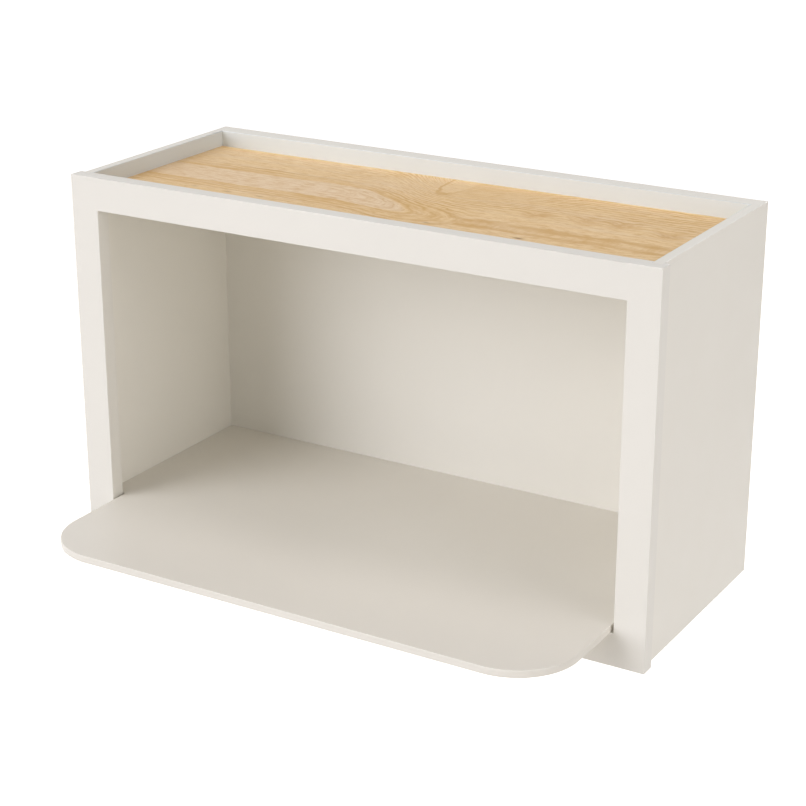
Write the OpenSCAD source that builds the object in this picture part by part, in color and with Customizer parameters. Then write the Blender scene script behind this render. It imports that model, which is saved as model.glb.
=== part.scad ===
// Wall cabinet for a microwave oven, with a face frame and a shelf that reaches out
// through it. Millimetres. The wall is the plane y = 0, the cabinet's front faces -Y,
// z = 0 is its lower edge and x = 0 its middle.

/* [Cabinet] */
// Width over the face frame
cabinet_w = 762; // [600:0.5:920]
// Height of the frame, the sides and the back
cabinet_h = 457.2; // [360:0.1:620]
// Depth from the wall to the front of the frame
cabinet_d = 304.8; // [250:0.1:420]

/* [Face frame] */
// Thickness of the stiles and rails
frame_t = 19.05; // [18:0.05:25]
// Width of each stile
stile_w = 38.1; // [32:0.1:55]
// Height of the top rail
top_rail_h = 40; // [38:0.5:60]
// Height of the bottom rail, which carries the shelf
bottom_rail_h = 40; // [34:0.5:56]
// How far each stile stands out past its side panel
frame_overhang = 6.35; // [3:0.05:10]
// Depth of the grooves in the frame's back
frame_groove = 5; // [3:0.5:6]
// Diameter of the frame's dowels
dowel_d = 8; // [6:0.5:9]
// Length of the frame's dowels
dowel_l = 36; // [24:1:38]
// Spacing of the two dowels in each joint
dowel_pitch = 20; // [16:0.5:21]

/* [Panels] */
// Thickness of the side panels
side_t = 12; // [11:0.5:16]
// Thickness of the top panel
top_t = 12; // [9:0.5:13]
// Distance from the cabinet's upper edge down to the top panel
top_drop = 20; // [12:0.5:24]
// Thickness of the back panel
back_t = 12; // [9:0.5:18]
// Depth of the grooves and rabbets in the panels
dado = 5; // [3:0.5:6]

/* [Hanging rails] */
// Thickness of the two rails behind the back panel
hang_t = 12; // [9:0.5:19]
// Height of each hanging rail
hang_h = 76.2; // [66:0.1:110]
// Diameter of the wall screws' holes
wall_hole_d = 5; // [4:0.1:6]
// Diameter of each hole's countersink
wall_sink_d = 10; // [8:0.1:12]
// Spacing of the holes across, as of the studs in a wall
wall_hole_pitch = 406.4; // [300:0.1:500]
// Height of the lower holes above the cabinet's lower edge
wall_hole_low = 20; // [12:0.5:26]
// Distance from the cabinet's upper edge down to the upper holes
wall_hole_drop = 57; // [48:0.5:60]

/* [Shelf] */
// Thickness of the shelf
shelf_t = 9; // [7:0.5:12]
// How far the shelf reaches out past the frame
shelf_reach = 153.5; // [110:0.5:220]
// Radius of the shelf's two front corners
shelf_corner_r = 76.2; // [20:0.1:100]
// Gap between the shelf and each stile
shelf_side_gap = 3.4; // [1:0.1:6]
// Gap between the shelf's shoulders and the frame's back
shelf_back_gap = 1; // [0.5:0.1:2]

/* [Shelf cleats] */
// Width and height of the battens under the shelf
cleat_s = 18; // [17:0.5:20]
// Gap at each end of a batten
cleat_end_gap = 1; // [0.5:0.1:3]
// Diameter of the screws' shanks
screw_d = 4; // [3.5:0.1:4.5]
// Diameter of the screws' heads
screw_head_d = 8; // [7:0.1:9]
// Length of the screws that hold a cleat to its side panel
cleat_screw_l = 25; // [22:0.5:26]
// Length of the screws that hold the shelf down on its cleats
shelf_screw_l = 24; // [21:0.5:25]
// Number of screws of each kind in a cleat
cleat_screws_n = 3; // [2:1:5]
// Distance from a cleat's end to its first screw
cleat_screw_end = 30; // [15:1:50]
// Distance along the cleat from a side screw to its shelf screw
cleat_screw_step = 16; // [12:1:24]

/* [Staples] */
// Width of a staple's crown
staple_crown = 6; // [5:0.5:10]
// Thickness of the staple's wire
staple_wire = 1.2; // [0.9:0.1:1.4]
// Length of a rail staple's legs
rail_staple_l = 32; // [28:1:40]
// Length of a panel staple's legs
panel_staple_l = 22; // [18:1:30]
// Number of panel staples at each side
panel_staples_n = 4; // [2:1:8]

/* [Fits] */
// Clearance at each face of a board in its groove
fit_gap = 0.1; // [0.05:0.01:0.2]
// Clearance at the end of a board or a dowel in its groove or hole
end_gap = 0.4; // [0.2:0.05:0.8]
// Clearance round a dowel, a screw or a staple
hole_gap = 0.05; // [0.03:0.01:0.1]

/* [Hidden] */
$fn = 48;
cut = 1;

half_w = cabinet_w / 2;
frame_front = -cabinet_d;
frame_back = frame_front + frame_t;
groove_floor = frame_back - frame_groove;
bay_half = half_w - stile_w;

side_out = half_w - frame_overhang;
side_in = side_out - side_t;
side_front = groove_floor + end_gap;
back_face = -(hang_t + back_t);
rabbet_half = side_in + dado;
board_half = rabbet_half - end_gap;

top_z1 = cabinet_h - top_drop;
top_z0 = top_z1 - top_t;
shelf_z0 = bottom_rail_h;
shelf_z1 = shelf_z0 + shelf_t;
shelf_half = bay_half - shelf_side_gap;
shelf_front = frame_front - shelf_reach;
shelf_shoulder = frame_back + shelf_back_gap;
shelf_rear = back_face + dado - end_gap;

dowel_y = (frame_front + groove_floor) / 2;
cleat_y0 = frame_back + cleat_end_gap;
cleat_y1 = back_face - cleat_end_gap;
cleat_z0 = shelf_z0 - cleat_s;
cleat_in = side_in - cleat_s;
side_screw_y = [for (i = [0 : cleat_screws_n - 1])
    cleat_y0 + cleat_screw_end
    + i * (cleat_y1 - cleat_y0 - 2 * cleat_screw_end - cleat_screw_step) / (cleat_screws_n - 1)];
shelf_screw_y = [for (y = side_screw_y) y + cleat_screw_step];

hang_low_z = [0, hang_h];
hang_high_z = [cabinet_h - hang_h, cabinet_h];
wall_hole_z = [wall_hole_low, cabinet_h - wall_hole_drop];
sink_depth = (wall_sink_d - wall_hole_d) / 2;
staple_x = (side_in + board_half) / 2;
rail_staple_z = [shelf_z0 / 2, (shelf_z1 + hang_low_z[1]) / 2,
    (hang_high_z[0] + top_z0) / 2, (top_z1 + cabinet_h) / 2];
panel_z0 = hang_low_z[1];
panel_z1 = hang_high_z[0];
panel_staple_z = [for (i = [1 : panel_staples_n])
    panel_z0 + (panel_z1 - panel_z0) * i / (panel_staples_n + 1)];

// A board between two opposite corners
module board(low, high) {
    translate(low)
        cube(high - low);
}

// The left-hand copy of a right-hand piece
module left_hand() {
    mirror([1, 0, 0])
        children();
}

// Both copies of what is drawn at the right
module both_hands() {
    children();
    left_hand()
        children();
}

// One dowel along X, centred on the joint; gap is the clearance that a hole adds
module dowel(gap = 0, ends = 0) {
    rotate([0, 90, 0])
        cylinder(d = dowel_d + 2 * gap, h = dowel_l + 2 * ends, center = true);
}

// The two dowels of the joint between the right stile and each rail
module joint_dowels(rail_z0, rail_z1, gap = 0, ends = 0) {
    for (side = [-1, 1])
        translate([bay_half, dowel_y, (rail_z0 + rail_z1 + side * dowel_pitch) / 2])
            dowel(gap, ends);
}

// The four dowels of the right stile, as pieces or as the holes for them
module stile_dowels(gap = 0, ends = 0) {
    joint_dowels(cabinet_h - top_rail_h, cabinet_h, gap, ends);
    joint_dowels(0, bottom_rail_h, gap, ends);
}

// A countersunk wood screw: its head's face is at the origin and its shank runs along +Z
module screw(length, gap = 0) {
    head_depth = (screw_head_d - screw_d) / 2;
    cylinder(d = screw_d + 2 * gap, h = length + gap);
    cylinder(d1 = screw_head_d + 2 * gap, d2 = screw_d + 2 * gap, h = head_depth);
}

// The screws from the right cleat into its side panel
module side_screws(gap = 0) {
    for (y = side_screw_y)
        translate([cleat_in, y, cleat_z0 + cleat_s / 2])
            rotate([0, 90, 0])
                screw(cleat_screw_l, gap);
}

// The screws up through the right cleat into the shelf
module up_screws(gap = 0) {
    for (y = shelf_screw_y)
        translate([cleat_in + cleat_s / 2, y, cleat_z0])
            screw(shelf_screw_l, gap);
}

// One staple whose crown lies at the origin and whose legs run along -Y
module staple(leg, gap = 0) {
    half = staple_wire / 2 + gap;
    reach = staple_crown / 2 + gap;
    board([-half, -staple_wire - gap, -reach], [half, 0, reach]);
    for (side = [-1, 1])
        translate([0, 0, side * (staple_crown - staple_wire) / 2])
            board([-half, -leg - gap, -half], [half, 0, half]);
}

// The staples at the right-hand ends of both hanging rails
module right_rail_staples(gap = 0) {
    for (z = rail_staple_z)
        translate([staple_x, 0, z])
            staple(rail_staple_l, gap);
}

// The staples along the right-hand edge of the back panel
module right_panel_staples(gap = 0) {
    for (z = panel_staple_z)
        translate([staple_x, -hang_t, z])
            staple(panel_staple_l, gap);
}

// The four holes for the screws into the wall, sunk from the inside
module wall_holes() {
    for (side = [-1, 1], z = wall_hole_z)
        translate([side * wall_hole_pitch / 2, back_face, z])
            rotate([-90, 0, 0]) {
                translate([0, 0, -cut])
                    cylinder(d = wall_hole_d, h = back_t + hang_t + 2 * cut);
                cylinder(d1 = wall_sink_d, d2 = wall_hole_d, h = sink_depth);
            }
}

// Right stile: the side panel's front edge is let into a groove in its back
module stile() {
    difference() {
        board([bay_half, frame_front, 0], [half_w, frame_back, cabinet_h]);
        board([side_in - fit_gap, groove_floor, -cut],
              [side_out + fit_gap, frame_back + cut, cabinet_h + cut]);
        stile_dowels(hole_gap, end_gap);
    }
}

module left_stile() {
    color("#ece8e2")
        left_hand()
            stile();
}

module right_stile() {
    color("#ece8e2")
        stile();
}

// Top rail: the top panel's front tongue is let into a groove in its back
module top_rail() {
    color("#ece8e2")
        difference() {
            board([-bay_half, frame_front, cabinet_h - top_rail_h],
                  [bay_half, frame_back, cabinet_h]);
            board([-bay_half - cut, groove_floor, top_z0 - fit_gap],
                  [bay_half + cut, frame_back + cut, top_z1 + fit_gap]);
            both_hands()
                stile_dowels(hole_gap, end_gap);
        }
}

// Bottom rail: the shelf lies on its upper edge
module bottom_rail() {
    color("#ece8e2")
        difference() {
            board([-bay_half, frame_front, 0], [bay_half, frame_back, bottom_rail_h]);
            both_hands()
                stile_dowels(hole_gap, end_gap);
        }
}

module frame_dowels() {
    color("#d8bd93")
        both_hands()
            stile_dowels();
}

// Right side panel: grooved for the top panel and the shelf, rabbeted for the back
module side_panel() {
    difference() {
        board([side_in, side_front, 0], [side_out, 0, cabinet_h]);
        board([side_in - cut, back_face, -cut], [rabbet_half, cut, cabinet_h + cut]);
        board([side_in - cut, frame_back - fit_gap, top_z0 - fit_gap],
              [rabbet_half, back_face + cut, top_z1 + fit_gap]);
        board([side_in - cut, shelf_shoulder - fit_gap, shelf_z0],
              [rabbet_half, back_face + cut, shelf_z1 + fit_gap]);
        side_screws(hole_gap);
        right_rail_staples(hole_gap);
        right_panel_staples(hole_gap);
    }
}

module left_side_panel() {
    color("#e4e0da")
        left_hand()
            side_panel();
}

module right_side_panel() {
    color("#e4e0da")
        side_panel();
}

// Top panel: its ends lie in the sides' grooves and its tongue in the top rail's
module top_panel() {
    color("#d6b78b") {
        board([-board_half, frame_back, top_z0], [board_half, back_face, top_z1]);
        board([-bay_half + fit_gap, groove_floor + end_gap, top_z0],
              [bay_half - fit_gap, frame_back, top_z1]);
    }
}

// Back panel: it stands in the sides' rabbets, grooved for the shelf's rear edge
module back_panel() {
    color("#ddd8d0")
        difference() {
            board([-board_half, back_face, 0], [board_half, back_face + back_t, cabinet_h]);
            board([-board_half - cut, back_face - cut, shelf_z0],
                  [board_half + cut, back_face + dado, shelf_z1 + fit_gap]);
            wall_holes();
            both_hands() {
                right_rail_staples(hole_gap);
                right_panel_staples(hole_gap);
            }
        }
}

// One hanging rail between two heights, glued to the back panel and stapled at its ends
module hanging_rail(heights) {
    color("#d6b78b")
        difference() {
            board([-board_half, -hang_t, heights[0]], [board_half, 0, heights[1]]);
            wall_holes();
            both_hands()
                right_rail_staples(hole_gap);
        }
}

module upper_hanging_rail() {
    hanging_rail(hang_high_z);
}

module lower_hanging_rail() {
    hanging_rail(hang_low_z);
}

// Outline of the shelf: wide between the sides, narrow between the stiles, round in front
module shelf_outline() {
    translate([-board_half, shelf_shoulder])
        square([2 * board_half, shelf_rear - shelf_shoulder]);
    translate([-shelf_half, shelf_front + shelf_corner_r])
        square([2 * shelf_half, shelf_shoulder - shelf_front - shelf_corner_r]);
    translate([-shelf_half + shelf_corner_r, shelf_front])
        square([2 * (shelf_half - shelf_corner_r), shelf_corner_r]);
    for (side = [-1, 1])
        translate([side * (shelf_half - shelf_corner_r), shelf_front + shelf_corner_r])
            circle(r = shelf_corner_r, $fn = 180);
}

module microwave_shelf() {
    color("#dcd4ca")
        difference() {
            translate([0, 0, shelf_z0])
                linear_extrude(shelf_t)
                    shelf_outline();
            both_hands()
                up_screws(hole_gap);
        }
}

// Right cleat: screwed to the side panel, with the shelf screwed down on it from below
module shelf_cleat() {
    difference() {
        board([cleat_in, cleat_y0, cleat_z0], [side_in, cleat_y1, shelf_z0]);
        side_screws(hole_gap);
        up_screws(hole_gap);
    }
}

module left_shelf_cleat() {
    color("#d8bd93")
        left_hand()
            shelf_cleat();
}

module right_shelf_cleat() {
    color("#d8bd93")
        shelf_cleat();
}

module cleat_screws() {
    color("#c9c7c0")
        both_hands()
            side_screws();
}

module shelf_screws() {
    color("#c9c7c0")
        both_hands()
            up_screws();
}

module rail_staples() {
    color("#b9b8b4")
        both_hands()
            right_rail_staples();
}

module panel_staples() {
    color("#b9b8b4")
        both_hands()
            right_panel_staples();
}

left_stile();
right_stile();
top_rail();
bottom_rail();
frame_dowels();
left_side_panel();
right_side_panel();
top_panel();
back_panel();
upper_hanging_rail();
lower_hanging_rail();
microwave_shelf();
left_shelf_cleat();
right_shelf_cleat();
cleat_screws();
shelf_screws();
rail_staples();
panel_staples();
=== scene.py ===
import math

import bmesh
import bpy
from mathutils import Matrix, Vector


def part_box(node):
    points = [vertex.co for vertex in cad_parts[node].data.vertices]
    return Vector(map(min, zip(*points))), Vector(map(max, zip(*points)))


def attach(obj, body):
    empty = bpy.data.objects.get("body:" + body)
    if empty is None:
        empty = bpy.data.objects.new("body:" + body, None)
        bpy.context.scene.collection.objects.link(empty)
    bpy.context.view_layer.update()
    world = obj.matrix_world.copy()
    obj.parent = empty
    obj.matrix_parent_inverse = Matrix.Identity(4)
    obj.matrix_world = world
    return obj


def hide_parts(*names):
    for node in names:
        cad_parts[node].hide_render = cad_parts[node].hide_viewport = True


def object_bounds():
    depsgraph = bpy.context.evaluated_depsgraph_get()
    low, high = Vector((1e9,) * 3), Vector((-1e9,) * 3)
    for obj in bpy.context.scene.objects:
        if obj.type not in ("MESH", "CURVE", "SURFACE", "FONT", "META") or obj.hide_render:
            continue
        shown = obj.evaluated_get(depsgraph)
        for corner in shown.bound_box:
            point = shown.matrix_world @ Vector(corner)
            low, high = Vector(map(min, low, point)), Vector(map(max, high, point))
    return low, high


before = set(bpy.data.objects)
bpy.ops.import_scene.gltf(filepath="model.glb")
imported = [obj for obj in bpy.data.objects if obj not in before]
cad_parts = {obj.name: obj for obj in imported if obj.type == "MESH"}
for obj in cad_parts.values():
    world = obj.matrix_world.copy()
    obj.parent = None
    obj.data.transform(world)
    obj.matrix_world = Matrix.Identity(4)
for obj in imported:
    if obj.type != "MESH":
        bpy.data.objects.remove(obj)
cad_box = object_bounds()
cabinet_low, cabinet_high = cad_box
scene = bpy.context.scene


# Camera. It looks at the cabinet from its front right and a little above, through a long lens.
# The photograph has upright lines that stay parallel. That would take a shift of nearly a whole
# picture, so this camera is tilted instead, at the angles that fit the photograph best.
photo_pixels = 806
focal_pixels = 1994.0
camera_azimuth = math.radians(30.88)
camera_drop = math.radians(20.46)
camera_place = (1.1410, -2.0828, 1.0285)
film_width = 36

camera_data = bpy.data.cameras.new("camera")
camera_data.sensor_width = film_width
camera_data.lens = film_width * focal_pixels / photo_pixels
camera = bpy.data.objects.new("camera", camera_data)
camera.location = camera_place
camera.rotation_euler = (math.pi / 2 - camera_drop, 0, camera_azimuth)
scene.collection.objects.link(camera)
scene.camera = camera
scene.view_settings.view_transform = "Standard"


# Studio. The cabinet hangs at its usual height over a plain pale floor, in even light from all
# round, with a broad soft lamp low at the front left and weaker ones above, at the right and
# behind. The floor throws its own colour up, and whatever looks at the floor sees it lifted to white.
hanging_height = 1.372
floor_radius, floor_segments = 40, 96
floor_colour = (0.74, 0.70, 0.64, 1)
floor_lift = 0.9
sky_level = 0.24


def add(tree, kind, feeds=None, **settings):
    """One new node. feeds gives its inputs by name or number: a socket is linked, a value is set."""
    made = tree.nodes.new(kind)
    for name, value in settings.items():
        setattr(made, name, value)
    for place, value in (feeds or {}).items():
        if isinstance(value, bpy.types.NodeSocket):
            tree.links.new(value, made.inputs[place])
        else:
            made.inputs[place].default_value = value
    return made


def calc(tree, operation, *values):
    """The result of a Math node on these sockets and numbers."""
    return add(tree, "ShaderNodeMath", dict(enumerate(values)), operation=operation).outputs[0]


def lifted(tree, share, least):
    """Brings a share from the range 0 to 1 to the range from least to 1."""
    return calc(tree, "MULTIPLY_ADD", share, 1 - least, least)


def seen_itself(tree):
    """1 for a ray that shows the surface or its mirror image, 0 for one that only carries its light."""
    ray = add(tree, "ShaderNodeLightPath").outputs
    seen = calc(tree, "MAXIMUM", ray["Is Camera Ray"], ray["Is Glossy Ray"])
    return calc(tree, "MAXIMUM", seen, ray["Is Transmission Ray"])


world = bpy.data.worlds.new("studio_white")
world.use_nodes = True
scene.world = world
sky = world.node_tree
sky.nodes["Background"].inputs["Color"].default_value = (1, 1, 1, 1)
sky_strength = lifted(sky, seen_itself(sky), sky_level)
sky.links.new(sky_strength, sky.nodes["Background"].inputs["Strength"])

floor_paper = bpy.data.materials.new("white_floor")
floor_paper.use_nodes = True
paper = floor_paper.node_tree
paper.nodes.clear()
paper_matt = add(paper, "ShaderNodeBsdfDiffuse", {"Color": floor_colour})
paper_glow = calc(paper, "MULTIPLY", seen_itself(paper), floor_lift)
paper_lift = add(paper, "ShaderNodeEmission", {"Strength": paper_glow})
paper_sum = add(paper, "ShaderNodeAddShader", {0: paper_matt.outputs[0], 1: paper_lift.outputs[0]})
add(paper, "ShaderNodeOutputMaterial", {"Surface": paper_sum.outputs[0]})

floor_mesh = bmesh.new()
bmesh.ops.create_circle(floor_mesh, cap_ends=True, radius=floor_radius, segments=floor_segments)
bmesh.ops.translate(floor_mesh, vec=(0, 0, -hanging_height), verts=floor_mesh.verts)
floor_data = bpy.data.meshes.new("floor")
floor_mesh.to_mesh(floor_data)
floor_mesh.free()
floor_data.materials.append(floor_paper)
floor = bpy.data.objects.new("floor", floor_data)
scene.collection.objects.link(floor)


def soft_lamp(name, azimuth, elevation, distance, width, level, tint=(1, 1, 1)):
    """A round soft lamp aimed at the cabinet. level 1 would light a face turned to it at full tone."""
    data = bpy.data.lights.new(name, "AREA")
    data.shape = "DISK"
    data.size = width
    data.energy = level * (math.pi * distance) ** 2
    data.color = tint
    lamp = bpy.data.objects.new(name, data)
    turn, rise = math.radians(azimuth), math.radians(elevation)
    towards = Vector((math.sin(turn) * math.cos(rise), -math.cos(turn) * math.cos(rise), math.sin(rise)))
    lamp.location = (cabinet_low + cabinet_high) / 2 + towards * distance
    lamp.rotation_euler = towards.to_track_quat("Z", "Y").to_euler()
    scene.collection.objects.link(lamp)


soft_lamp(
    "key_lamp", azimuth=-31, elevation=19, distance=14, width=11, level=0.652, tint=(0.99, 1.0, 1.07),
)
soft_lamp("high_left_lamp", azimuth=-44, elevation=60, distance=7, width=3.0, level=0.137)
soft_lamp("top_lamp", azimuth=0, elevation=90, distance=7, width=2.3, level=0.15, tint=(1.05, 1.0, 1.0))
soft_lamp(
    "side_lamp", azimuth=80, elevation=25, distance=7, width=4.6, level=0.17, tint=(1.0, 0.98, 1.02),
)
soft_lamp(
    "low_side_lamp", azimuth=85, elevation=-8, distance=5, width=1.8, level=0.09, tint=(1.0, 0.98, 1.02),
)
soft_lamp("fill_lamp", azimuth=65, elevation=5, distance=7, width=2.3, level=0.13)
soft_lamp("back_lamp", azimuth=185, elevation=8, distance=7, width=2.3, level=0.12)


# Face frame. Two stiles and two rails of planed maple, dowelled and glued, sanded flush and
# sprayed with off-white satin paint, so that the joints don't show. The outer edges and those of
# the opening are eased with sandpaper; the machined grooves and dowel holes stay bare wood.
frame_tone = (0.795, 0.765, 0.700)
paint_drift, drift_tones = (4, 4, 4), (0.985, 1.012)
paint_cloud, satin = (30, 30, 30), (0.36, 0.44)
orange_peel, peel_depth = (650, 650, 650), 0.00006
print_depth = 0.00010
edge_ease = 0.0006
ease_steps = 3
weld_distance = 1e-5
flat_angle = math.radians(0.5)
on_plane = 1e-5
upright_grain, level_grain, depth_grain = (420, 420, 9), (9, 420, 420), (420, 9, 420)
usual_noise = (0.3, 0.7)

SIDES = {
    "left": Vector((-1, 0, 0)),
    "right": Vector((1, 0, 0)),
    "front": Vector((0, -1, 0)),
    "back": Vector((0, 1, 0)),
    "under": Vector((0, 0, -1)),
    "top": Vector((0, 0, 1)),
}


def noise(tree, place, stretch, detail=3.0, roughness=0.5, distortion=0.0):
    """Smooth noise whose grains are about 1 / stretch metres long in X, Y and Z."""
    mapped = add(tree, "ShaderNodeMapping", {"Vector": place, "Scale": stretch}).outputs[0]
    feeds = {"Vector": mapped, "Scale": 1.0, "Detail": detail, "Roughness": roughness}
    feeds["Distortion"] = distortion
    return add(tree, "ShaderNodeTexNoise", feeds).outputs["Fac"]


def spread(tree, value, low, high):
    """Brings noise from the range where it mostly lies to the range from low to high."""
    feeds = {0: value, 1: usual_noise[0], 2: usual_noise[1], 3: low, 4: high}
    return add(tree, "ShaderNodeMapRange", feeds).outputs[0]


def step_up(tree, value, start, end):
    """A soft step from 0 at start to 1 at end."""
    feeds = {0: value, 1: start, 2: end, 3: 0.0, 4: 1.0}
    return add(tree, "ShaderNodeMapRange", feeds, interpolation_type="SMOOTHSTEP").outputs[0]


def mixed(tree, share, first, second, way="MIX"):
    """Two colours, each a socket or three numbers, mixed by share."""
    feeds = {0: share}
    for place, colour in ((6, first), (7, second)):
        feeds[place] = colour if isinstance(colour, bpy.types.NodeSocket) else (*colour, 1)
    return add(tree, "ShaderNodeMix", feeds, data_type="RGBA", blend_type=way).outputs[2]


def finish(name):
    """A new material, its node tree, its shader and the Object coordinates."""
    material = bpy.data.materials.new(name)
    material.use_nodes = True
    tree = material.node_tree
    place = add(tree, "ShaderNodeTexCoord").outputs["Object"]
    return material, tree, tree.nodes["Principled BSDF"], place


def bump(tree, shader, height, depth, under=None):
    """Raises the surface by height, up to depth in metres, over another bump."""
    feeds = {"Strength": 1.0, "Distance": depth, "Height": height}
    if under:
        feeds["Normal"] = under
    made = add(tree, "ShaderNodeBump", feeds).outputs[0]
    tree.links.new(made, shader.inputs["Normal"])
    return made


def satin_paint(name, tone, grain=None, well=None):
    """Sprayed satin paint with a faint orange peel. grain is the stretch of the wood grain that shows
    through. well gives the low and high corner of a space in which the paint is given another tone,
    a painted offset for the light thrown on it there, and that tone."""
    material, tree, shader, place = finish(name)
    # Inside the well the tone is swapped for a painted offset of the light thrown there.
    if well:
        low, high, light_offset_tone = well
        spot = add(tree, "ShaderNodeSeparateXYZ", {0: place}).outputs
        inside = 1.0
        for axis in range(3):
            past_low = calc(tree, "GREATER_THAN", spot[axis], low[axis])
            short_of_high = calc(tree, "LESS_THAN", spot[axis], high[axis])
            inside = calc(tree, "MULTIPLY", inside, calc(tree, "MULTIPLY", past_low, short_of_high))
        tone = mixed(tree, inside, tone, light_offset_tone)
    drift = spread(tree, noise(tree, place, paint_drift, detail=2), *drift_tones)
    drift = add(tree, "ShaderNodeCombineColor", {0: drift, 1: drift, 2: drift}).outputs[0]
    tree.links.new(mixed(tree, 1.0, tone, drift, "MULTIPLY"), shader.inputs["Base Color"])
    cloud = noise(tree, place, paint_cloud, detail=3)
    tree.links.new(spread(tree, cloud, *satin), shader.inputs["Roughness"])
    peel = noise(tree, place, orange_peel, detail=2, roughness=0.4)
    relief = bump(tree, shader, peel, peel_depth)
    if grain:
        print_through = noise(tree, place, grain, detail=4, roughness=0.6)
        bump(tree, shader, print_through, print_depth, under=relief)
    return material


def side_of(normal):
    """The side of the cabinet that a flat face looks to, or None for a slanting one."""
    for side, outwards in SIDES.items():
        if normal.dot(outwards) > 0.9999:
            return side
    return None


def board_copy(node, cuts=()):
    """A CAD board as one closed mesh with whole faces, and the outer side that each face is on. Each
    cut splits the faces at one position along one axis."""
    mesh = bmesh.new()
    mesh.from_mesh(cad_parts[node].data)
    bmesh.ops.remove_doubles(mesh, verts=mesh.verts, dist=weld_distance)
    for axis, position in cuts:
        everything = mesh.verts[:] + mesh.edges[:] + mesh.faces[:]
        along = Vector(float(axis == other) for other in range(3))
        cut = bmesh.ops.bisect_plane(
            mesh, geom=everything, dist=on_plane, plane_co=along * position, plane_no=along
        )
        for made in cut["geom_cut"]:
            if isinstance(made, bmesh.types.BMEdge):
                made.seam = True
    everywhere = {"verts": mesh.verts, "edges": mesh.edges}
    bmesh.ops.dissolve_limit(mesh, angle_limit=flat_angle, delimit={"SEAM"}, **everywhere)
    low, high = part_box(node)

    def outer_side(face):
        """The outer side that a face lies on, or None if it is cut into the board or curved."""
        side = side_of(face.normal)
        if side is None:
            return None
        corner = high if sum(SIDES[side]) > 0 else low
        return side if abs((face.verts[0].co - corner).dot(SIDES[side])) < on_plane else None

    return mesh, outer_side


def ease(mesh, edges):
    """Rounds these edges as sandpaper does."""
    made = bmesh.ops.bevel(
        mesh, geom=edges, offset=edge_ease, segments=ease_steps, profile=0.5, affect="EDGES",
        clamp_overlap=True, material=-1,
    )
    for face in made["faces"]:
        face.smooth = True


def finished(mesh, name, slot, materials, *nodes):
    """The mesh as a piece at the origin, which stands for these CAD nodes and rides on the cabinet."""
    data = bpy.data.meshes.new(name)
    mesh.to_mesh(data)
    mesh.free()
    for material in materials:
        data.materials.append(material)
    piece = bpy.data.objects.new(name, data)
    scene.collection.objects.link(piece)
    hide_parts(*nodes)
    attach(piece, "root")
    return piece


def cut_board(node, slot, finishes, eased, sides_to=None):
    """A finished copy of a CAD board. finishes gives a material for each outer side, and "cut" for
    what is machined into it. eased names the pairs of outer sides whose shared edges are sanded
    round, each with None for the whole edge or with an axis and the two ends of the stretch on it.
    sides_to is where the left and right ends go if they are filled out to the boards beside them."""
    limits = {frozenset(pair): limit or (0, -math.inf, math.inf) for pair, limit in eased.items()}
    cuts = {(axis, end) for axis, *ends in limits.values() for end in ends if math.isfinite(end)}
    mesh, outer_side = board_copy(node, sorted(cuts))
    high_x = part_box(node)[1].x
    materials = list(dict.fromkeys(finishes.values()))
    for face in mesh.faces:
        face.material_index = materials.index(finishes.get(outer_side(face), finishes["cut"]))
    chosen = []
    for edge in mesh.edges:
        pair = frozenset(outer_side(face) for face in edge.link_faces)
        axis, start, end = limits.get(pair, (0, 0, 0))
        if start < (edge.verts[0].co[axis] + edge.verts[1].co[axis]) / 2 < end:
            chosen.append(edge)
    ease(mesh, chosen)
    if sides_to:
        for vert in mesh.verts:
            if abs(abs(vert.co.x) - high_x) < on_plane:
                vert.co.x = math.copysign(sides_to, vert.co.x)
    return finished(mesh, "made_" + node, slot, materials, node)


figure_to_fibre, rings_across, ring_share = 0.025, 0.1 / 0.006, 0.45
planed, fibre_depth = (0.5, 0.62), 0.00012


def bare_wood(name, pale, deep, grain):
    """Planed wood without a finish. grain is the stretch of its fibres, small along them."""
    material, tree, shader, place = finish(name)
    figure_stretch = [amount * figure_to_fibre for amount in grain]
    figure = noise(tree, place, figure_stretch, detail=1.5, distortion=0.3)
    rings = calc(tree, "FRACT", calc(tree, "MULTIPLY", figure, rings_across))
    dark_ring = calc(tree, "POWER", rings, 2.5)
    fibre = noise(tree, place, grain, detail=4, roughness=0.65)
    share = calc(tree, "MULTIPLY_ADD", dark_ring, ring_share, spread(tree, fibre, 0.0, 0.5))
    tree.links.new(mixed(tree, share, pale, deep), shader.inputs["Base Color"])
    tree.links.new(spread(tree, fibre, *planed), shader.inputs["Roughness"])
    bump(tree, shader, fibre, fibre_depth)
    return material


frame_paint = satin_paint("frame_paint_off_white", frame_tone)
maple_pale, maple_deep = (0.72, 0.55, 0.36), (0.56, 0.38, 0.21)
upright_maple = bare_wood("bare_maple_upright", maple_pale, maple_deep, upright_grain)
level_maple = bare_wood("bare_maple_level", maple_pale, maple_deep, level_grain)
painted_frame = dict.fromkeys(SIDES, frame_paint)

opening_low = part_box("bottom_rail")[1].z
opening_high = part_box("top_rail")[0].z
for outer, inner in (("left", "right"), ("right", "left")):
    stile_edges = {
        ("front", outer): None, ("back", outer): None, ("front", "top"): None, ("front", "under"): None,
        (outer, "top"): None, (outer, "under"): None, ("front", inner): (2, opening_low, opening_high),
    }
    cut_board(outer + "_stile", "frame_paint", {**painted_frame, "cut": upright_maple}, stile_edges)
for rail in ("top_rail", "bottom_rail"):
    rail_edges = dict.fromkeys((("front", "top"), ("front", "under"), ("back", "top"), ("back", "under")))
    cut_board(rail, "frame_paint", {**painted_frame, "cut": level_maple}, rail_edges)


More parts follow.
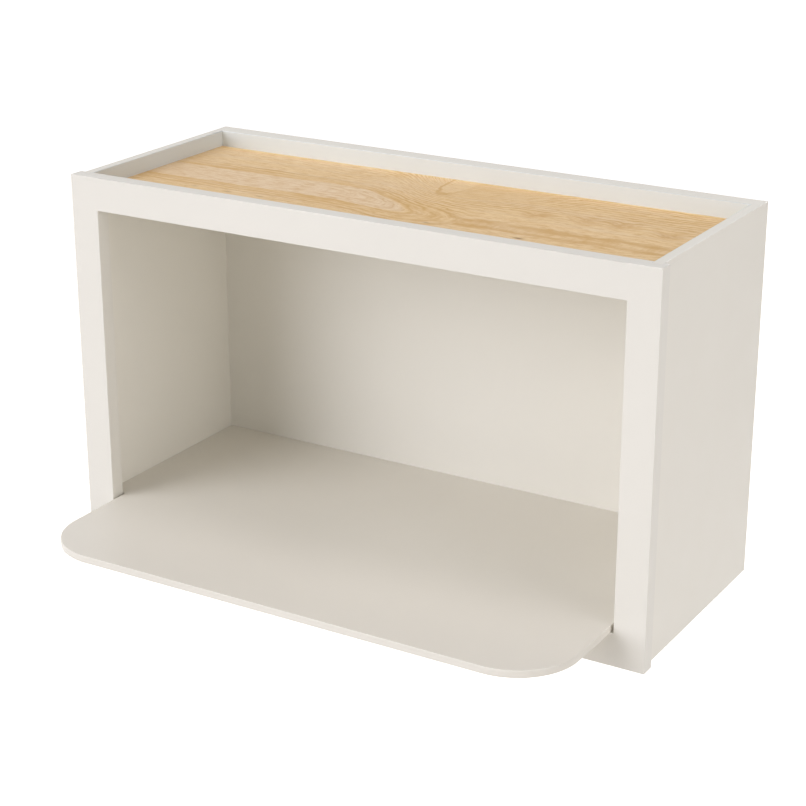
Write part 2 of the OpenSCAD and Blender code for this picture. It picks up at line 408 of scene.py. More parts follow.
# Side panels. Maple plywood of 12 mm, painted on both faces and on the edges that show. The rear
# edge goes against the wall and stays raw: its layers show, with a little paint over its arris.
panel_tone = (0.830, 0.797, 0.720)
ply_count = 9
glue_tone, end_grain_tone = (0.36, 0.24, 0.13), (0.52, 0.36, 0.21)
overspray = 0.0008
pore_stretch, sawn, sawn_depth = (1500, 1500, 1500), (0.6, 0.75), 0.00015
glue_width, glue_share = 0.10, 0.7
well_margin = 0.001


def ply_edge(name, across, low, high, grain, painted=None):
    """The raw edge of plywood, whose layers lie from low to high on the axis across. grain is the
    stretch of the fibres in the face layers. painted is the tone of the paint that has run over the
    arrises."""
    material, tree, shader, place = finish(name)
    depth = calc(tree, "SUBTRACT", add(tree, "ShaderNodeSeparateXYZ", {0: place}).outputs[across], low)
    layers = calc(tree, "MULTIPLY", depth, ply_count / (high - low))
    crosswise = calc(tree, "MODULO", calc(tree, "FLOOR", layers), 2.0)
    fibre = noise(tree, place, grain, detail=4, roughness=0.6)
    pores = noise(tree, place, pore_stretch, detail=2)
    long_grain = mixed(tree, spread(tree, fibre, 0, 1), maple_pale, maple_deep)
    end_grain = mixed(tree, spread(tree, pores, 0, 1), maple_deep, end_grain_tone)
    wood = mixed(tree, crosswise, long_grain, end_grain)
    to_seam = calc(tree, "PINGPONG", calc(tree, "FRACT", layers), 0.5)
    seam = calc(tree, "SUBTRACT", 1.0, step_up(tree, to_seam, 0.0, glue_width))
    colour = mixed(tree, calc(tree, "MULTIPLY", seam, glue_share), wood, glue_tone)
    if painted:
        ragged = noise(tree, place, (220, 220, 220), detail=4)
        to_arris = calc(tree, "MINIMUM", depth, calc(tree, "SUBTRACT", high - low, depth))
        reach = spread(tree, ragged, 0.2 * overspray, 1.6 * overspray)
        colour = mixed(tree, calc(tree, "LESS_THAN", to_arris, reach), colour, painted)
    tree.links.new(colour, shader.inputs["Base Color"])
    tree.links.new(spread(tree, pores, *sawn), shader.inputs["Roughness"])
    bump(tree, shader, calc(tree, "SUBTRACT", pores, seam), sawn_depth)
    return material


# In the well over the top panel the paint gets a cooler colour. This is a painted offset for the warm
# light that the veneer throws on it there.
well_light_offset_tone = (0.748, 0.782, 0.772)
well_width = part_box("right_side_panel")[0].x + well_margin
well_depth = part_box("back_panel")[0].y + well_margin
well_low = (-well_width, cabinet_low.y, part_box("top_panel")[1].z)
well_high = (well_width, well_depth, cabinet_high.z + well_margin)
panel_paint = satin_paint(
    "panel_paint_off_white", panel_tone, grain=(300, 300, 7), well=(well_low, well_high, well_light_offset_tone),
)
behind_frame = (1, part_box("top_rail")[1].y, math.inf)
for outer in ("left", "right"):
    panel = outer + "_side_panel"
    low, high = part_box(panel)
    raw_edge = ply_edge(panel + "_rear_edge", 0, low.x, high.x, upright_grain, panel_tone)
    panel_finishes = {**dict.fromkeys(SIDES, panel_paint), "back": raw_edge, "cut": upright_maple}
    panel_edges = {(side, end): behind_frame for side in ("left", "right") for end in ("top", "under")}
    panel_edges[outer, "back"] = None
    cut_board(panel, "panel_paint", panel_finishes, panel_edges)


# Top panel. Maple plywood let into grooves 20 mm below the upper edge, the one piece that keeps
# its wood in sight: a flat-sliced face veneer under clear sealer, with a pale flame that comes
# from the left, lines that sweep round an old branch, pin knots and mineral flecks. Painted below.
veneer_tan = (0.968, 0.734, 0.434)
veneer_pale = (0.963, 0.784, 0.586)
veneer_line = (0.660, 0.385, 0.120)
knot_tone = (0.64, 0.36, 0.12)
fleck_tone = (0.34, 0.20, 0.10)

# The figure, in metres on the board: the line of the log's heart, the pale flame and the rims of
# its tongue, the branches as centre, reach and lift of the rings, the eye, the knots and the flecks.
heart_y, heart_drop, heart_bend = -0.152, -0.033, (-0.10, 0.05)
wander = 0.026
flame_start, flame_tip, flame_end = -0.362, 0.012, 0.050
flame_taper, flame_blend = 3.0, 0.006
tongue, tongue_edge, tongue_fray = 0.031, (-0.003, 0.002), 0.007
tongue_rims = (0.0330, 0.0378, 0.0440, 0.0515)
rim_widths, rim_widens_to = (0.0010, 0.0040), 0.022
branches = (
    ((0.004, 0.000), (0.054, 0.084), 0.105),
    ((0.080, 0.005), (0.075, 0.075), 0.035),
)
eye_at, eye_reach, eye_fray = (0.004, -0.030), (0.019, 0.062), 0.35
eye_line, eye_open_end = (0.02, 0.15), (0.006, 0.026)
knots_at = ((0.147, -0.121), (0.205, -0.116), (0.247, -0.114), (0.310, -0.129))
knot_reach, knot_lift = (0.016, 0.013), 0.010
flecks_at = (
    (0.172, -0.218, 1.0),
    (-0.268, -0.212, 0.35),
    (-0.218, -0.214, 0.4),
    (-0.174, -0.213, 0.35),
    (0.052, -0.213, 0.45),
)
fleck_reach = (0.0055, 0.0026)
ring_gap, ring_ripple, ring_quiver, dark_ring_power = 0.0078, 1.7, 0.5, 2.4
faint_left = (-0.20, -0.08)
faint_right, faint_from, faint_until = (0.03, 0.11), (0.052, 0.057), (0.070, 0.100)
dark_left = (0.30, 0.40)

# The stretch of each noise, and the shares, steps and fading that are made of them.
wander_noise, quiver_noise, ripple_noise = (5, 14, 1), (75, 150, 1), (26, 90, 1)
patch_noise, rim_noise, cloud_noise = (9, 24, 1), (10, 30, 1), (8, 20, 1)
fibre_noise, streak_noise = (24, 950, 950), (55, 360, 1)
pore_noise, blotch_noise = (140, 1400, 1), (120, 160, 1)
ring_shade_across, ring_shade_along = 90, 2.5
ring_shade, cloud_shade = (-0.25, 0.45), (0.45, 0.95)
line_patches, rim_patches, blotches = (0.0, 1.7), (0.1, 1.3), (0.2, 1.1)
pore_steps, eye_steps = (0.64, 0.74), (0.85, 1.1)
lines_in_eye, lines_at_left, gap_fade = 0.25, 0.3, 0.85
tan_in_flame, lines_in_flame = 0.20, 0.5
fibre_share, streak_share, pore_share = (0.0, 0.34), (-0.32, 0.66), 0.35
line_share, rim_share, eye_share = 0.62, 0.60, 0.6
knot_share, left_share = 0.75, 0.35
sealed, sealer_gloss, veneer_relief = (0.58, 0.68), 0.3, 0.00005
veneer_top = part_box("top_panel")[1].z


def less(tree, value):
    """1 less a value."""
    return calc(tree, "SUBTRACT", 1.0, value)


def times(tree, first, *others):
    """The product of two values or more."""
    for other in others:
        first = calc(tree, "MULTIPLY", first, other)
    return first


def off_centre(tree, place, centre, reach):
    """The distance from the centre on the veneer, as a share of the reach along X and Y."""
    away = add(tree, "ShaderNodeVectorMath", {0: place, 1: (*centre, veneer_top)}, operation="SUBTRACT")
    away = add(tree, "ShaderNodeVectorMath", {0: away.outputs[0], 1: (*reach, 1)}, operation="DIVIDE")
    return add(tree, "ShaderNodeVectorMath", {0: away.outputs[0]}, operation="LENGTH").outputs["Value"]


def mound(tree, place, centre, reach):
    """1 at the centre, falling off in a bell to nothing at about twice the reach."""
    distance = off_centre(tree, place, centre, reach)
    return calc(tree, "EXPONENT", times(tree, distance, distance, -1.0))


def log_rings(tree, place, spot):
    """How far each point lay from the heart of the log, how far it lies from the heart's line across
    the veneer, and how deep it is in a pin knot. The rings rise over the branches and knots."""
    bend = calc(tree, "MULTIPLY", step_up(tree, spot["X"], *heart_bend), heart_drop)
    drift = calc(tree, "SUBTRACT", noise(tree, place, wander_noise, detail=2), 0.5)
    across = calc(tree, "SUBTRACT", calc(tree, "SUBTRACT", spot["Y"], bend), heart_y)
    across = calc(tree, "MULTIPLY_ADD", drift, wander, across)
    rise = calc(tree, "DIVIDE", calc(tree, "SUBTRACT", spot["X"], flame_start), flame_tip - flame_start)
    rise = calc(tree, "POWER", calc(tree, "MAXIMUM", rise, 0.0), flame_taper)
    rise = calc(tree, "SMOOTH_MIN", calc(tree, "MULTIPLY", rise, tongue), flame_end, flame_blend)
    squares = calc(tree, "ADD", calc(tree, "MULTIPLY", across, across), calc(tree, "MULTIPLY", rise, rise))
    radius = calc(tree, "SQRT", squares)
    for centre, reach, lift in branches:
        radius = calc(tree, "MULTIPLY_ADD", mound(tree, place, centre, reach), lift, radius)
    knots = 0.0
    for knot in knots_at:
        bell = mound(tree, place, knot, knot_reach)
        radius = calc(tree, "MULTIPLY_ADD", bell, knot_lift, radius)
        knots = calc(tree, "ADD", knots, bell)
    return radius, across, knots


def ring_lines(tree, place, spot, radius, ripple, eye):
    """The dark late wood of the rings. It is fainter in patches, at the left, between the rings at the
    right of the branch, and within the branch's eye."""
    quiver = noise(tree, place, quiver_noise, detail=2)
    rings = calc(tree, "MULTIPLY_ADD", ripple, ring_ripple, calc(tree, "DIVIDE", radius, ring_gap))
    rings = calc(tree, "MULTIPLY_ADD", quiver, ring_quiver, rings)
    dark = calc(tree, "POWER", times(tree, calc(tree, "PINGPONG", rings, 0.5), 2.0), dark_ring_power)
    patches = spread(tree, noise(tree, place, patch_noise, detail=2), *line_patches)
    rightwards = lifted(tree, step_up(tree, spot["X"], *faint_left), lines_at_left)
    gap = times(tree, step_up(tree, spot["X"], *faint_right), step_up(tree, radius, *faint_from))
    gap = times(tree, gap, less(tree, step_up(tree, radius, *faint_until)))
    off_gap = calc(tree, "MULTIPLY_ADD", gap, -gap_fade, 1.0)
    off_eye = lifted(tree, step_up(tree, eye, *eye_steps), lines_in_eye)
    return times(tree, dark, times(tree, patches, rightwards, off_gap, off_eye))


def tongue_lines(tree, place, across, ragged):
    """The lines along the rims of the pale tongue, which widen away from the heart's line."""
    feeds = {0: calc(tree, "ABSOLUTE", across), 2: rim_widens_to, 3: rim_widths[0], 4: rim_widths[1]}
    width = add(tree, "ShaderNodeMapRange", feeds).outputs[0]
    lines = 0.0
    for rim in tongue_rims:
        off_rim = calc(tree, "ABSOLUTE", calc(tree, "SUBTRACT", ragged, rim))
        off_rim = step_up(tree, calc(tree, "DIVIDE", off_rim, width), 0.0, 1.0)
        lines = calc(tree, "MAXIMUM", lines, less(tree, off_rim))
    return times(tree, lines, spread(tree, noise(tree, place, rim_noise, detail=2), *rim_patches))


def maple_veneer(name):
    """Flat-sliced maple under clear satin sealer, with its grain along X."""
    material, tree, shader, place = finish(name)
    spot = add(tree, "ShaderNodeSeparateXYZ", {0: place}).outputs
    radius, across, knots = log_rings(tree, place, spot)
    ripple = noise(tree, place, ripple_noise, detail=3, roughness=0.6)
    fray = calc(tree, "SUBTRACT", ripple, 0.5)
    eye = calc(tree, "MULTIPLY_ADD", fray, eye_fray, off_centre(tree, place, eye_at, eye_reach))
    ragged = calc(tree, "MULTIPLY_ADD", fray, tongue_fray, radius)
    outside = step_up(tree, ragged, tongue + tongue_edge[0], tongue + tongue_edge[1])

    across_rings = times(tree, radius, ring_shade_across)
    along_rings = times(tree, spot["X"], ring_shade_along)
    ring_place = add(tree, "ShaderNodeCombineXYZ", {"X": across_rings, "Y": along_rings}).outputs[0]
    ring_warmth = spread(tree, noise(tree, ring_place, (1, 1, 1), detail=2), *ring_shade)
    cloud_warmth = spread(tree, noise(tree, place, cloud_noise, detail=3), *cloud_shade)
    warmth = calc(tree, "ADD", cloud_warmth, ring_warmth)
    warmth = times(tree, lifted(tree, outside, tan_in_flame), warmth)
    colour = mixed(tree, warmth, veneer_pale, veneer_tan)

    line = ring_lines(tree, place, spot, radius, ripple, eye)
    line = times(tree, line, lifted(tree, outside, lines_in_flame))
    rim = tongue_lines(tree, place, across, ragged)
    off_eye = step_up(tree, calc(tree, "ABSOLUTE", calc(tree, "SUBTRACT", eye, 1.0)), *eye_line)
    eye_rim = times(tree, less(tree, off_eye), less(tree, step_up(tree, spot["X"], *eye_open_end)))
    fibre = noise(tree, place, fibre_noise, detail=4, roughness=0.65)
    along_figure = add(tree, "ShaderNodeCombineXYZ", {"X": spot["X"], "Y": radius}).outputs[0]
    streaks = noise(tree, along_figure, streak_noise, detail=3, roughness=0.7)
    pores = step_up(tree, noise(tree, place, pore_noise, detail=1), *pore_steps)
    dark_lines = (
        times(tree, line, line_share),
        times(tree, rim, rim_share),
        times(tree, eye_rim, eye_share),
        spread(tree, fibre, *fibre_share),
        spread(tree, streaks, *streak_share),
        times(tree, pores, pore_share),
    )
    for share in dark_lines:
        colour = mixed(tree, share, colour, veneer_line)

    blotch = times(tree, knots, spread(tree, noise(tree, place, blotch_noise, detail=2), *blotches))
    colour = mixed(tree, times(tree, blotch, knot_share), colour, knot_tone)
    far_left = step_up(tree, times(tree, spot["X"], -1.0), *dark_left)
    colour = mixed(tree, times(tree, far_left, left_share), colour, veneer_line)
    for x, y, depth in flecks_at:
        dot = mound(tree, place, (x, y), fleck_reach)
        colour = mixed(tree, times(tree, dot, depth), colour, fleck_tone)

    tree.links.new(colour, shader.inputs["Base Color"])
    tree.links.new(spread(tree, fibre, *sealed), shader.inputs["Roughness"])
    shader.inputs["Specular IOR Level"].default_value = sealer_gloss
    bump(tree, shader, calc(tree, "SUBTRACT", fibre, times(tree, pores, 0.5)), veneer_relief)
    return material


top_finishes = {**dict.fromkeys(SIDES, level_maple), "under": panel_paint, "cut": level_maple}
top_finishes["top"] = maple_veneer("clear_maple_veneer")
cut_board("top_panel", "maple_plywood", top_finishes, {})


# Back panel and hanging rails. The panel is painted inside and along its upper edge. Its rear face
# and both rails stay raw, as nobody sees them once the cabinet hangs; the upper rail's top edge is
# painted with the rest, and their ends are filled out to the rabbets. Four holes take wall screws.
rabbet_depth, joint_gap = 0.005, 0.00001
filled_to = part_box("right_side_panel")[0].x + rabbet_depth - joint_gap

low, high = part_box("back_panel")
back_layers = ply_edge("back_panel_layers", 1, low.y, high.y, level_grain)
back_finishes = {
    **dict.fromkeys(SIDES, panel_paint), "back": upright_maple, "under": back_layers, "cut": back_layers,
}
cut_board("back_panel", "panel_paint", back_finishes, {("front", "top"): None}, sides_to=filled_to)

low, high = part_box("upper_hanging_rail")
rail_layers = ply_edge("hanging_rail_layers", 1, low.y, high.y, level_grain)
lower_finishes = {
    **dict.fromkeys(SIDES, rail_layers), "back": level_maple, "front": level_maple, "cut": rail_layers,
}
upper_finishes = {**lower_finishes, "top": panel_paint}
upper_edges = {("back", "top"): None}
lower_edges = {("back", "top"): None, ("back", "under"): None}
cut_board("upper_hanging_rail", "maple_plywood", upper_finishes, upper_edges, sides_to=filled_to)
cut_board("lower_hanging_rail", "maple_plywood", lower_finishes, lower_edges, sides_to=filled_to)


# Microwave shelf. One board of 9 mm, sawn to a T so that its shoulders lock behind the stiles, with
# its two front corners rounded. It is painted all over; the front rim is eased by hand.
shelf_tone = (0.805, 0.767, 0.692)
shelf_paint = satin_paint("shelf_paint_off_white", shelf_tone)
mesh, _ = board_copy("microwave_shelf")
frame_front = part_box("top_rail")[0].y
rim_end = frame_front + 0.03
shelf_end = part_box("microwave_shelf")[1].x
for face in mesh.faces:
    reach = max(abs(vert.co.x) for vert in face.verts)
    bored = face.calc_center_median().y > frame_front and reach < shelf_end - on_plane
    face.material_index = 1 if bored else 0
    face.smooth = side_of(face.normal) is None
rim = []
for edge in mesh.edges:
    level = sorted(abs(face.normal.z) > 0.5 for face in edge.link_faces)
    if level == [False, True] and max(vert.co.y for vert in edge.verts) < rim_end:
        rim.append(edge)
ease(mesh, rim)
finished(mesh, "made_microwave_shelf", "shelf_paint", [shelf_paint, level_maple], "microwave_shelf")


# Shelf cleats. Square battens of planed maple along the sides, under the shelf, left bare. Each is
# screwed to its side panel and carries the shelf, which is screwed down on it from below.
cleat_pale, cleat_deep = (0.66, 0.48, 0.30), (0.50, 0.33, 0.18)
cleat_wood = bare_wood("cleat_maple", cleat_pale, cleat_deep, depth_grain)
cleat_edges = dict.fromkeys((("left", "under"), ("right", "under")))
cleat_finishes = {"cut": cleat_wood}
for hand in ("left", "right"):
    cut_board(hand + "_shelf_cleat", "bare_hardwood", cleat_finishes, cleat_edges)


# Dowels. Eight fluted beech pegs, two glued into each joint between a stile and a rail, with
# chamfered ends. The flutes let the glue out.
beech_pale, beech_deep = (0.62, 0.42, 0.26), (0.47, 0.29, 0.16)
dowel_shape = {"Chamfer": 0.0008, "Flutes": 16.0, "Flute_Depth": 0.0003}
dowel_stations, dowel_corners = 37, 80
sharp_angle = math.radians(35)


def solids(node):
    """The low and high corner of each separate solid in a CAD node."""
    mesh = bmesh.new()
    mesh.from_mesh(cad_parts[node].data)
    bmesh.ops.remove_doubles(mesh, verts=mesh.verts, dist=weld_distance)
    boxes, reached = [], set()
    for start in mesh.verts:
        if start in reached:
            continue
        reached.add(start)
        waiting, corners = [start], []
        while waiting:
            vert = waiting.pop()
            corners.append(vert.co.copy())
            for edge in vert.link_edges:
                other = edge.other_vert(vert)
                if other not in reached:
                    reached.add(other)
                    waiting.append(other)
        low = Vector(min(corner[axis] for corner in corners) for axis in range(3))
        high = Vector(max(corner[axis] for corner in corners) for axis in range(3))
        boxes.append((low, high))
    mesh.free()
    return boxes


def shape_tree(name, sizes):
    """A new Geometry Nodes tree with a geometry input, a material input and these named sizes."""
    tree = bpy.data.node_groups.new(name, "GeometryNodeTree")
    tree.interface.new_socket("Geometry", in_out="INPUT", socket_type="NodeSocketGeometry")
    for size in sizes:
        tree.interface.new_socket(size, in_out="INPUT", socket_type="NodeSocketFloat")
    tree.interface.new_socket("Material", in_out="INPUT", socket_type="NodeSocketMaterial")
    tree.interface.new_socket("Geometry", in_out="OUTPUT", socket_type="NodeSocketGeometry")
    return tree, tree.nodes.new("NodeGroupInput").outputs


def end_tree(tree, points, shape, material, **placing):
    """Puts the shape at each point and turns it all into one mesh of this material, shaded smooth but
    for its sharp edges."""
    feeds = {"Points": points, "Instance": shape, **placing}
    placed = add(tree, "GeometryNodeInstanceOnPoints", feeds).outputs[0]
    real = add(tree, "GeometryNodeRealizeInstances", {0: placed}).outputs[0]
    angle = add(tree, "GeometryNodeInputMeshEdgeAngle").outputs[0]
    soft = calc(tree, "LESS_THAN", angle, sharp_angle)
    shaded = add(tree, "GeometryNodeSetShadeSmooth", {0: real, 1: soft, 2: True}, domain="EDGE").outputs[0]
    painted = add(tree, "GeometryNodeSetMaterial", {0: shaded, 2: material}).outputs[0]
    add(tree, "NodeGroupOutput", {0: painted})


def repeated(tree, node, slot, places, material, aims=None, **sizes):
    """One mesh of the tree's shape at each of these places, as the piece that stands for the node."""
    points = bpy.data.meshes.new("places")
    points.from_pydata([tuple(place) for place in places], [], [])
    if aims:
        stored = points.attributes.new("aim", "FLOAT_VECTOR", "POINT")
        stored.data.foreach_set("vector", [part for aim in aims for part in aim])
    carrier = bpy.data.objects.new("places", points)
    scene.collection.objects.link(carrier)
    modifier = carrier.modifiers.new("shape", "NODES")
    modifier.node_group = tree
    values = {name.replace("_", " "): value for name, value in sizes.items()}
    values["Material"] = material
    for socket in tree.interface.items_tree:
        if socket.in_out == "INPUT" and socket.name in values:
            modifier[socket.identifier] = values[socket.name]
    bpy.context.view_layer.update()
    depsgraph = bpy.context.evaluated_depsgraph_get()
    data = bpy.data.meshes.new_from_object(carrier.evaluated_get(depsgraph))
    carrier.modifiers.remove(modifier)
    bpy.data.objects.remove(carrier)
    data.name = "made_" + node
    data.materials.clear()
    data.materials.append(material)
    data.polygons.foreach_set("material_index", [0] * len(data.polygons))
    piece = bpy.data.objects.new("made_" + node, data)
    scene.collection.objects.link(piece)
    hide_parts(node)
    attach(piece, "root")
    return piece


dowel_sizes = ("Length", "Radius", "Chamfer", "Flutes", "Flute Depth")
tree, given = shape_tree("fluted_dowel", dowel_sizes)
half = calc(tree, "MULTIPLY", given["Length"], 0.5)
start = add(tree, "ShaderNodeCombineXYZ", {"X": calc(tree, "MULTIPLY", half, -1.0)}).outputs[0]
end = add(tree, "ShaderNodeCombineXYZ", {"X": half}).outputs[0]
axis = add(tree, "GeometryNodeCurvePrimitiveLine", {"Start": start, "End": end}).outputs[0]
axis = add(tree, "GeometryNodeResampleCurve", {"Curve": axis, "Count": dowel_stations}).outputs[0]
place = add(tree, "GeometryNodeInputPosition").outputs[0]
along = add(tree, "ShaderNodeSeparateXYZ", {0: place}).outputs["X"]
to_end = calc(tree, "SUBTRACT", half, calc(tree, "ABSOLUTE", along))
drawn_in = calc(tree, "MAXIMUM", calc(tree, "SUBTRACT", given["Chamfer"], to_end), 0.0)
thickness = calc(tree, "SUBTRACT", 1.0, calc(tree, "DIVIDE", drawn_in, given["Radius"]))
circle = {"Resolution": dowel_corners, "Radius": given["Radius"]}
ring = add(tree, "GeometryNodeCurvePrimitiveCircle", circle).outputs[0]
turn = calc(tree, "MULTIPLY", add(tree, "GeometryNodeInputIndex").outputs[0], math.tau / dowel_corners)
wave = calc(tree, "COSINE", calc(tree, "MULTIPLY", turn, given["Flutes"]))
inwards = calc(tree, "MULTIPLY", calc(tree, "MAXIMUM", wave, 0.0), given["Flute Depth"])
inwards = calc(tree, "MULTIPLY", calc(tree, "DIVIDE", inwards, given["Radius"]), -1.0)
offset = add(tree, "ShaderNodeVectorMath", {0: place, "Scale": inwards}, operation="SCALE").outputs[0]
ring = add(tree, "GeometryNodeSetPosition", {"Geometry": ring, "Offset": offset}).outputs[0]
peg = add(tree, "GeometryNodeCurveToMesh", {0: axis, 1: ring, 2: thickness, 3: True}).outputs[0]
end_tree(tree, given["Geometry"], peg, given["Material"])

dowel_wood = bare_wood("dowel_beech", beech_pale, beech_deep, level_grain)
boxes = solids("frame_dowels")
middles = [(low + high) / 2 for low, high in boxes]
low, high = boxes[0]
dowel_shape.update(Length=high.x - low.x, Radius=(high.z - low.z) / 2)
repeated(tree, "frame_dowels", "bare_hardwood", middles, dowel_wood, **dowel_shape)


# Screws. Twelve countersunk wood screws of zinc-plated steel with a square drive: six run out of the
# cleats into the side panels and six up through the cleats into the shelf.
zinc_pale, zinc_grey, zinc_shine = (0.66, 0.66, 0.63), (0.56, 0.57, 0.56), (0.26, 0.40)
screw_shape = {
    "Head_Radius": 0.004, "Shank_Radius": 0.002, "Thread_Depth": 0.0006, "Pitch": 0.0018,
    "Drive_Width": 0.0024, "Drive_Depth": 0.0015,
}
screw_stations, screw_corners = 121, 20
point_slope, point_radius = 0.42, 0.00005
thread_flank = 3.2
turning_seed = 7


def zinc_steel(name):
    """Bright zinc plate on drawn steel, a little clouded."""
    material, tree, shader, place = finish(name)
    cloud = noise(tree, place, (400, 400, 400), detail=3)
    colour = mixed(tree, spread(tree, cloud, 0, 1), zinc_pale, zinc_grey)
    tree.links.new(colour, shader.inputs["Base Color"])
    tree.links.new(spread(tree, cloud, *zinc_shine), shader.inputs["Roughness"])
    shader.inputs["Metallic"].default_value = 1.0
    return material


zinc = zinc_steel("bright_zinc")
screw_sizes = ("Length", *(name.replace("_", " ") for name in screw_shape))
tree, given = shape_tree("wood_screw", screw_sizes)
tip = add(tree, "ShaderNodeCombineXYZ", {"Z": given["Length"]}).outputs[0]
axis = add(tree, "GeometryNodeCurvePrimitiveLine", {"Start": (0, 0, 0), "End": tip}).outputs[0]
axis = add(tree, "GeometryNodeResampleCurve", {"Curve": axis, "Count": screw_stations}).outputs[0]
place = add(tree, "GeometryNodeInputPosition").outputs[0]
spot = add(tree, "ShaderNodeSeparateXYZ", {0: place}).outputs
depth = spot["Z"]
core = calc(tree, "SUBTRACT", given["Shank Radius"], given["Thread Depth"])
to_tip = calc(tree, "SUBTRACT", given["Length"], depth)
point = calc(tree, "MULTIPLY_ADD", to_tip, point_slope, point_radius)
head = calc(tree, "SUBTRACT", given["Head Radius"], depth)
girth = calc(tree, "MAXIMUM", head, calc(tree, "MINIMUM", core, point))
circle = {"Resolution": screw_corners, "Radius": 1.0}
ring = add(tree, "GeometryNodeCurvePrimitiveCircle", circle).outputs[0]
body = add(tree, "GeometryNodeCurveToMesh", {0: axis, 1: ring, 2: girth, 3: True}).outputs[0]
turn = calc(tree, "DIVIDE", calc(tree, "ARCTAN2", spot["Y"], spot["X"]), math.tau)
climb = calc(tree, "FRACT", calc(tree, "SUBTRACT", calc(tree, "DIVIDE", spot["Z"], given["Pitch"]), turn))
off_crest = calc(tree, "ABSOLUTE", calc(tree, "SUBTRACT", climb, 0.5))
crest = calc(tree, "MAXIMUM", less(tree, calc(tree, "MULTIPLY", off_crest, thread_flank)), 0.0)
from_head = calc(tree, "DIVIDE", calc(tree, "SUBTRACT", spot["Z"], given["Head Radius"]), given["Pitch"])
from_tip = calc(tree, "DIVIDE", to_tip, given["Pitch"])
fade = calc(tree, "MINIMUM", calc(tree, "MAXIMUM", calc(tree, "MINIMUM", from_head, from_tip), 0.0), 1.0)
rise = calc(tree, "MULTIPLY", calc(tree, "MULTIPLY", crest, fade), given["Thread Depth"])
flat = add(tree, "ShaderNodeCombineXYZ", {"X": spot["X"], "Y": spot["Y"]}).outputs[0]
outwards = add(tree, "ShaderNodeVectorMath", {0: flat}, operation="NORMALIZE").outputs[0]
offset = add(tree, "ShaderNodeVectorMath", {0: outwards, "Scale": rise}, operation="SCALE").outputs[0]
body = add(tree, "GeometryNodeSetPosition", {"Geometry": body, "Offset": offset}).outputs[0]
drive_height = calc(tree, "MULTIPLY", given["Drive Depth"], 2.0)
drive_size = {"X": given["Drive Width"], "Y": given["Drive Width"], "Z": drive_height}
drive_box = add(tree, "ShaderNodeCombineXYZ", drive_size).outputs[0]
drive = add(tree, "GeometryNodeMeshCube", {"Size": drive_box}).outputs[0]
body = add(tree, "GeometryNodeMeshBoolean", {0: body, 1: drive}, operation="DIFFERENCE").outputs[0]
aim = add(tree, "GeometryNodeInputNamedAttribute", {"Name": "aim"}, data_type="FLOAT_VECTOR").outputs[0]
facing = add(tree, "FunctionNodeAlignRotationToVector", {"Vector": aim}, axis="Z").outputs[0]
full_turn = {2: 0.0, 3: math.tau, "Seed": turning_seed}
angle = add(tree, "FunctionNodeRandomValue", full_turn, data_type="FLOAT").outputs[1]
spin = add(tree, "FunctionNodeAxisAngleToRotation", {"Axis": (0, 0, 1), "Angle": angle}).outputs[0]
facing = add(tree, "FunctionNodeRotateRotation", {0: facing, 1: spin}, rotation_space="LOCAL").outputs[0]
end_tree(tree, given["Geometry"], body, given["Material"], Rotation=facing)

heads, aims = [], []
boxes = solids("cleat_screws")
for low, high in boxes:
    outwards = 1 if low.x > 0 else -1
    heads.append((low.x if low.x > 0 else high.x, (low.y + high.y) / 2, (low.z + high.z) / 2))
    aims.append((outwards, 0, 0))
length = boxes[0][1].x - boxes[0][0].x
repeated(tree, "cleat_screws", "zinc_steel", heads, zinc, aims, Length=length, **screw_shape)
boxes = solids("shelf_screws")
heads = [((low.x + high.x) / 2, (low.y + high.y) / 2, low.z) for low, high in boxes]
aims = [(0, 0, 1)] * len(heads)
length = boxes[0][1].z - boxes[0][0].z
repeated(tree, "shelf_screws", "zinc_steel", heads, zinc, aims, Length=length, **screw_shape)


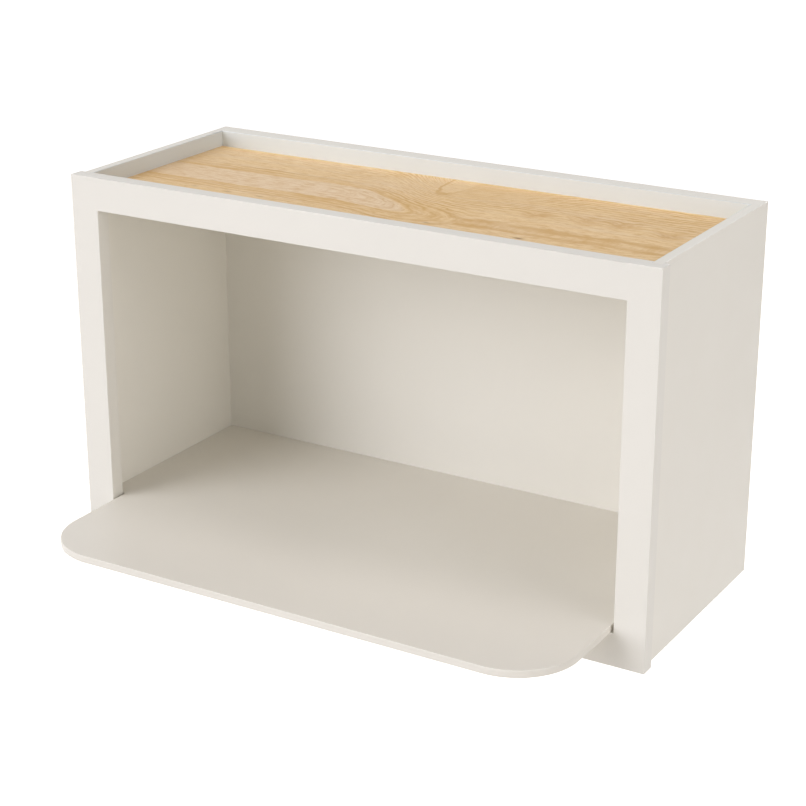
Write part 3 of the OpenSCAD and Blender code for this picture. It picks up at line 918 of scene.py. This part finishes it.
# Staples. Sixteen narrow-crown staples of zinc-plated wire, shot from behind through the hanging
# rails and the back panel into the rabbets of the sides, their crowns flush with the wood.
staple_sizes = ("Crown", "Leg", "Wire Radius")
bend_stations, wire_corners = 5, 12
chisel_slope, at_point = 1.5, 0.00001
tree, given = shape_tree("wire_staple", staple_sizes)
index = add(tree, "GeometryNodeInputIndex").outputs[0]
half = calc(tree, "SUBTRACT", calc(tree, "MULTIPLY", given["Crown"], 0.5), given["Wire Radius"])
upper = calc(tree, "MULTIPLY_ADD", calc(tree, "GREATER_THAN", index, 1.5), 2.0, -1.0)
in_crown = calc(tree, "COMPARE", index, 1.5, 0.6)
tip_y = calc(tree, "MULTIPLY", given["Leg"], -1.0)
crown_y = calc(tree, "MULTIPLY", given["Wire Radius"], -1.0)
depth = calc(tree, "MULTIPLY_ADD", in_crown, calc(tree, "SUBTRACT", crown_y, tip_y), tip_y)
height = calc(tree, "MULTIPLY", upper, half)
corner = add(tree, "ShaderNodeCombineXYZ", {"Y": depth, "Z": height}).outputs[0]
path = add(tree, "GeometryNodeMeshLine", {"Count": 4}).outputs[0]
path = add(tree, "GeometryNodeSetPosition", {"Geometry": path, "Position": corner}).outputs[0]
path = add(tree, "GeometryNodeMeshToCurve", {0: path}).outputs[0]
bend = {"Curve": path, "Count": bend_stations, "Radius": given["Wire Radius"], "Limit Radius": True}
path = add(tree, "GeometryNodeFilletCurve", bend, mode="POLY").outputs[0]
circle = {"Resolution": wire_corners, "Radius": given["Wire Radius"]}
ring = add(tree, "GeometryNodeCurvePrimitiveCircle", circle).outputs[0]
wire = add(tree, "GeometryNodeCurveToMesh", {0: path, 1: ring, 3: True}).outputs[0]
place = add(tree, "GeometryNodeInputPosition").outputs[0]
spot = add(tree, "ShaderNodeSeparateXYZ", {0: place}).outputs
at_tip = calc(tree, "LESS_THAN", spot["Y"], calc(tree, "ADD", tip_y, at_point))
chisel = times(tree, calc(tree, "ABSOLUTE", spot["X"]), chisel_slope, at_tip)
lift = add(tree, "ShaderNodeCombineXYZ", {"Y": chisel}).outputs[0]
wire = add(tree, "GeometryNodeSetPosition", {"Geometry": wire, "Offset": lift}).outputs[0]
end_tree(tree, given["Geometry"], wire, given["Material"])

for node in ("rail_staples", "panel_staples"):
    boxes = solids(node)
    crowns = [((low.x + high.x) / 2, high.y, (low.z + high.z) / 2) for low, high in boxes]
    low, high = boxes[0]
    staple = {"Crown": high.z - low.z, "Leg": high.y - low.y, "Wire_Radius": (high.x - low.x) / 2}
    repeated(tree, node, "zinc_steel", crowns, zinc, **staple)
